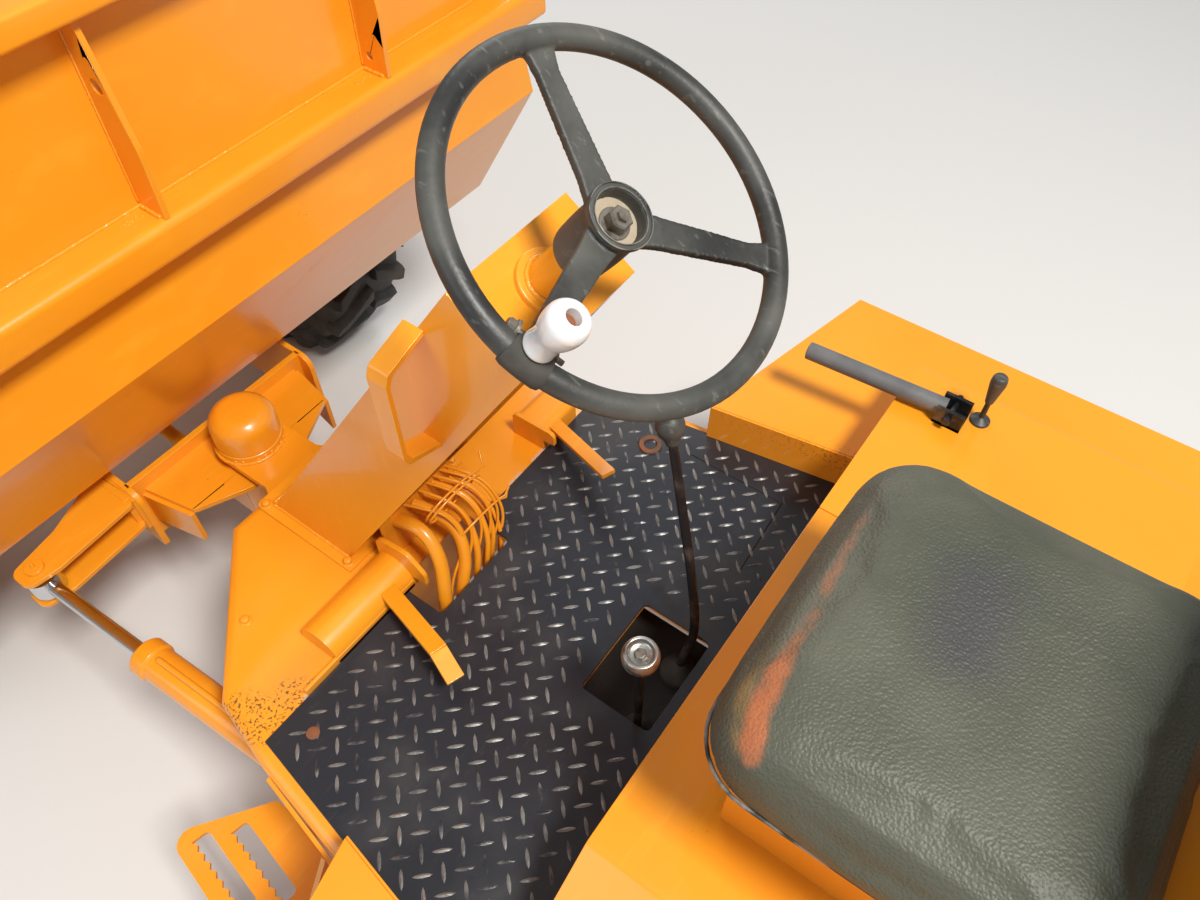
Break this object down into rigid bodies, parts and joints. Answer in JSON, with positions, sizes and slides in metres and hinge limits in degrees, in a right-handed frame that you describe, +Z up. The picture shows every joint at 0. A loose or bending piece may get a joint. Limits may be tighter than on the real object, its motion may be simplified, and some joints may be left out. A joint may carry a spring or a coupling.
{
  "type": "articulated site dumper",
  "caption": "Two-part construction dumper hinged in the middle, with a front tipping skip, a driver's seat over the engine cover and large lugged tyres.",
  "frame": {"origin": "on the ground, under the middle of the machine's length and width", "axes": "+X to the driver's right, +Y forward towards the skip, +Z up"},
  "size_m": [1.708, 3.75, 1.6618],
  "materials": {
    "black_grip": "worn black hard rubber",
    "black_paint": "black painted tread plate, worn grey",
    "bright_rod": "bright piston rod",
    "grey_iron": "grey cast iron",
    "orange_paint": "glossy orange-yellow brush paint",
    "seat_vinyl": "grained olive-grey vinyl",
    "tyre_rubber": "worn dusty rubber"
  },
  "bodies": {
    "rear_unit": {"console": "orange_paint", "engine": "grey_iron", "engine_cover": "orange_paint", "floor_plate": "black_paint", "hitch": "orange_paint", "left_fender": "orange_paint", "nose_plate": "orange_paint", "pivot_pin": "orange_paint", "rear_axle": "orange_paint", "rear_chassis": "orange_paint", "right_fender": "orange_paint", "seat_back": "seat_vinyl", "seat_base": "orange_paint", "seat_cushion": "seat_vinyl", "steering_column": "orange_paint"},
    "front_left_wheel": {"front_left_rim": "orange_paint", "front_left_tyre": "tyre_rubber"},
    "front_right_wheel": {"front_right_rim": "orange_paint", "front_right_tyre": "tyre_rubber"},
    "rear_left_wheel": {"rear_left_rim": "orange_paint", "rear_left_tyre": "tyre_rubber"},
    "rear_right_wheel": {"rear_right_rim": "orange_paint", "rear_right_tyre": "tyre_rubber"},
    "front_unit": {"front_chassis": "orange_paint", "ram_bracket": "orange_paint", "front_axle": "orange_paint"},
    "skip_unit": {"skip": "orange_paint"},
    "steer_wheel": {"steering_wheel": "black_grip"},
    "steer_ram_barrel": {"steer_barrel": "orange_paint"},
    "steer_ram_rod": {"steer_rod": "bright_rod"},
    "tip_ram_barrel": {"tip_barrel": "orange_paint"},
    "tip_ram_rod": {"tip_rod": "bright_rod"}
  },
  "joints": [
    {"name": "frame_steer", "type": "hinge", "parent": "rear_unit", "child": "front_unit", "pos_m": [0, 0.225, 0.5], "axis": [0, 0, 1], "range_deg": [-25, 25]},
    {"name": "skip_tip", "type": "hinge", "parent": "front_unit", "child": "skip_unit", "pos_m": [0, 1.2, 0.83], "axis": [-1, 0, 0], "range_deg": [0, 60]},
    {"name": "front_left_roll", "type": "hinge", "parent": "front_unit", "child": "front_left_wheel", "pos_m": [-0.67, 0.975, 0.38], "axis": [1, 0, 0], "continuous": true},
    {"name": "front_right_roll", "type": "hinge", "parent": "front_unit", "child": "front_right_wheel", "pos_m": [0.67, 0.975, 0.38], "axis": [1, 0, 0], "continuous": true},
    {"name": "rear_left_roll", "type": "hinge", "parent": "rear_unit", "child": "rear_left_wheel", "pos_m": [-0.67, -1.125, 0.38], "axis": [1, 0, 0], "continuous": true},
    {"name": "rear_right_roll", "type": "hinge", "parent": "rear_unit", "child": "rear_right_wheel", "pos_m": [0.67, -1.125, 0.38], "axis": [1, 0, 0], "continuous": true},
    {"name": "steering_turn", "type": "hinge", "parent": "rear_unit", "child": "steer_wheel", "pos_m": [0, -0.641, 1.549], "axis": [0, -0.5864, 0.81], "continuous": true},
    {"name": "steer_barrel_swing", "type": "hinge", "parent": "rear_unit", "child": "steer_ram_barrel", "pos_m": [-0.385, -0.6, 0.565], "axis": [0, 0, 1], "range_deg": [-5, 5]},
    {"name": "steer_rod_slide", "type": "slide", "parent": "steer_ram_barrel", "child": "steer_ram_rod", "axis": [-0.0473, 0.9989, 0], "range_m": [-0.2, 0.2]},
    {"name": "tip_barrel_swing", "type": "hinge", "parent": "front_unit", "child": "tip_ram_barrel", "pos_m": [0, 1.36, 0.54], "axis": [-1, 0, 0], "range_deg": [0, 50]},
    {"name": "tip_rod_slide", "type": "slide", "parent": "tip_ram_barrel", "child": "tip_ram_rod", "axis": [0, -0.991, 0.1339], "range_m": [0, 0.2]}
  ],
  "couplings": [
    {"joint": "steer_rod_slide", "follows": "frame_steer", "m_per_rad": -0.41395},
    {"joint": "steer_barrel_swing", "follows": "frame_steer", "ratio": 0.09403},
    {"joint": "tip_rod_slide", "follows": "skip_tip", "m_per_rad": 0.17449},
    {"joint": "tip_barrel_swing", "follows": "skip_tip", "ratio": 0.68189}
  ]
}
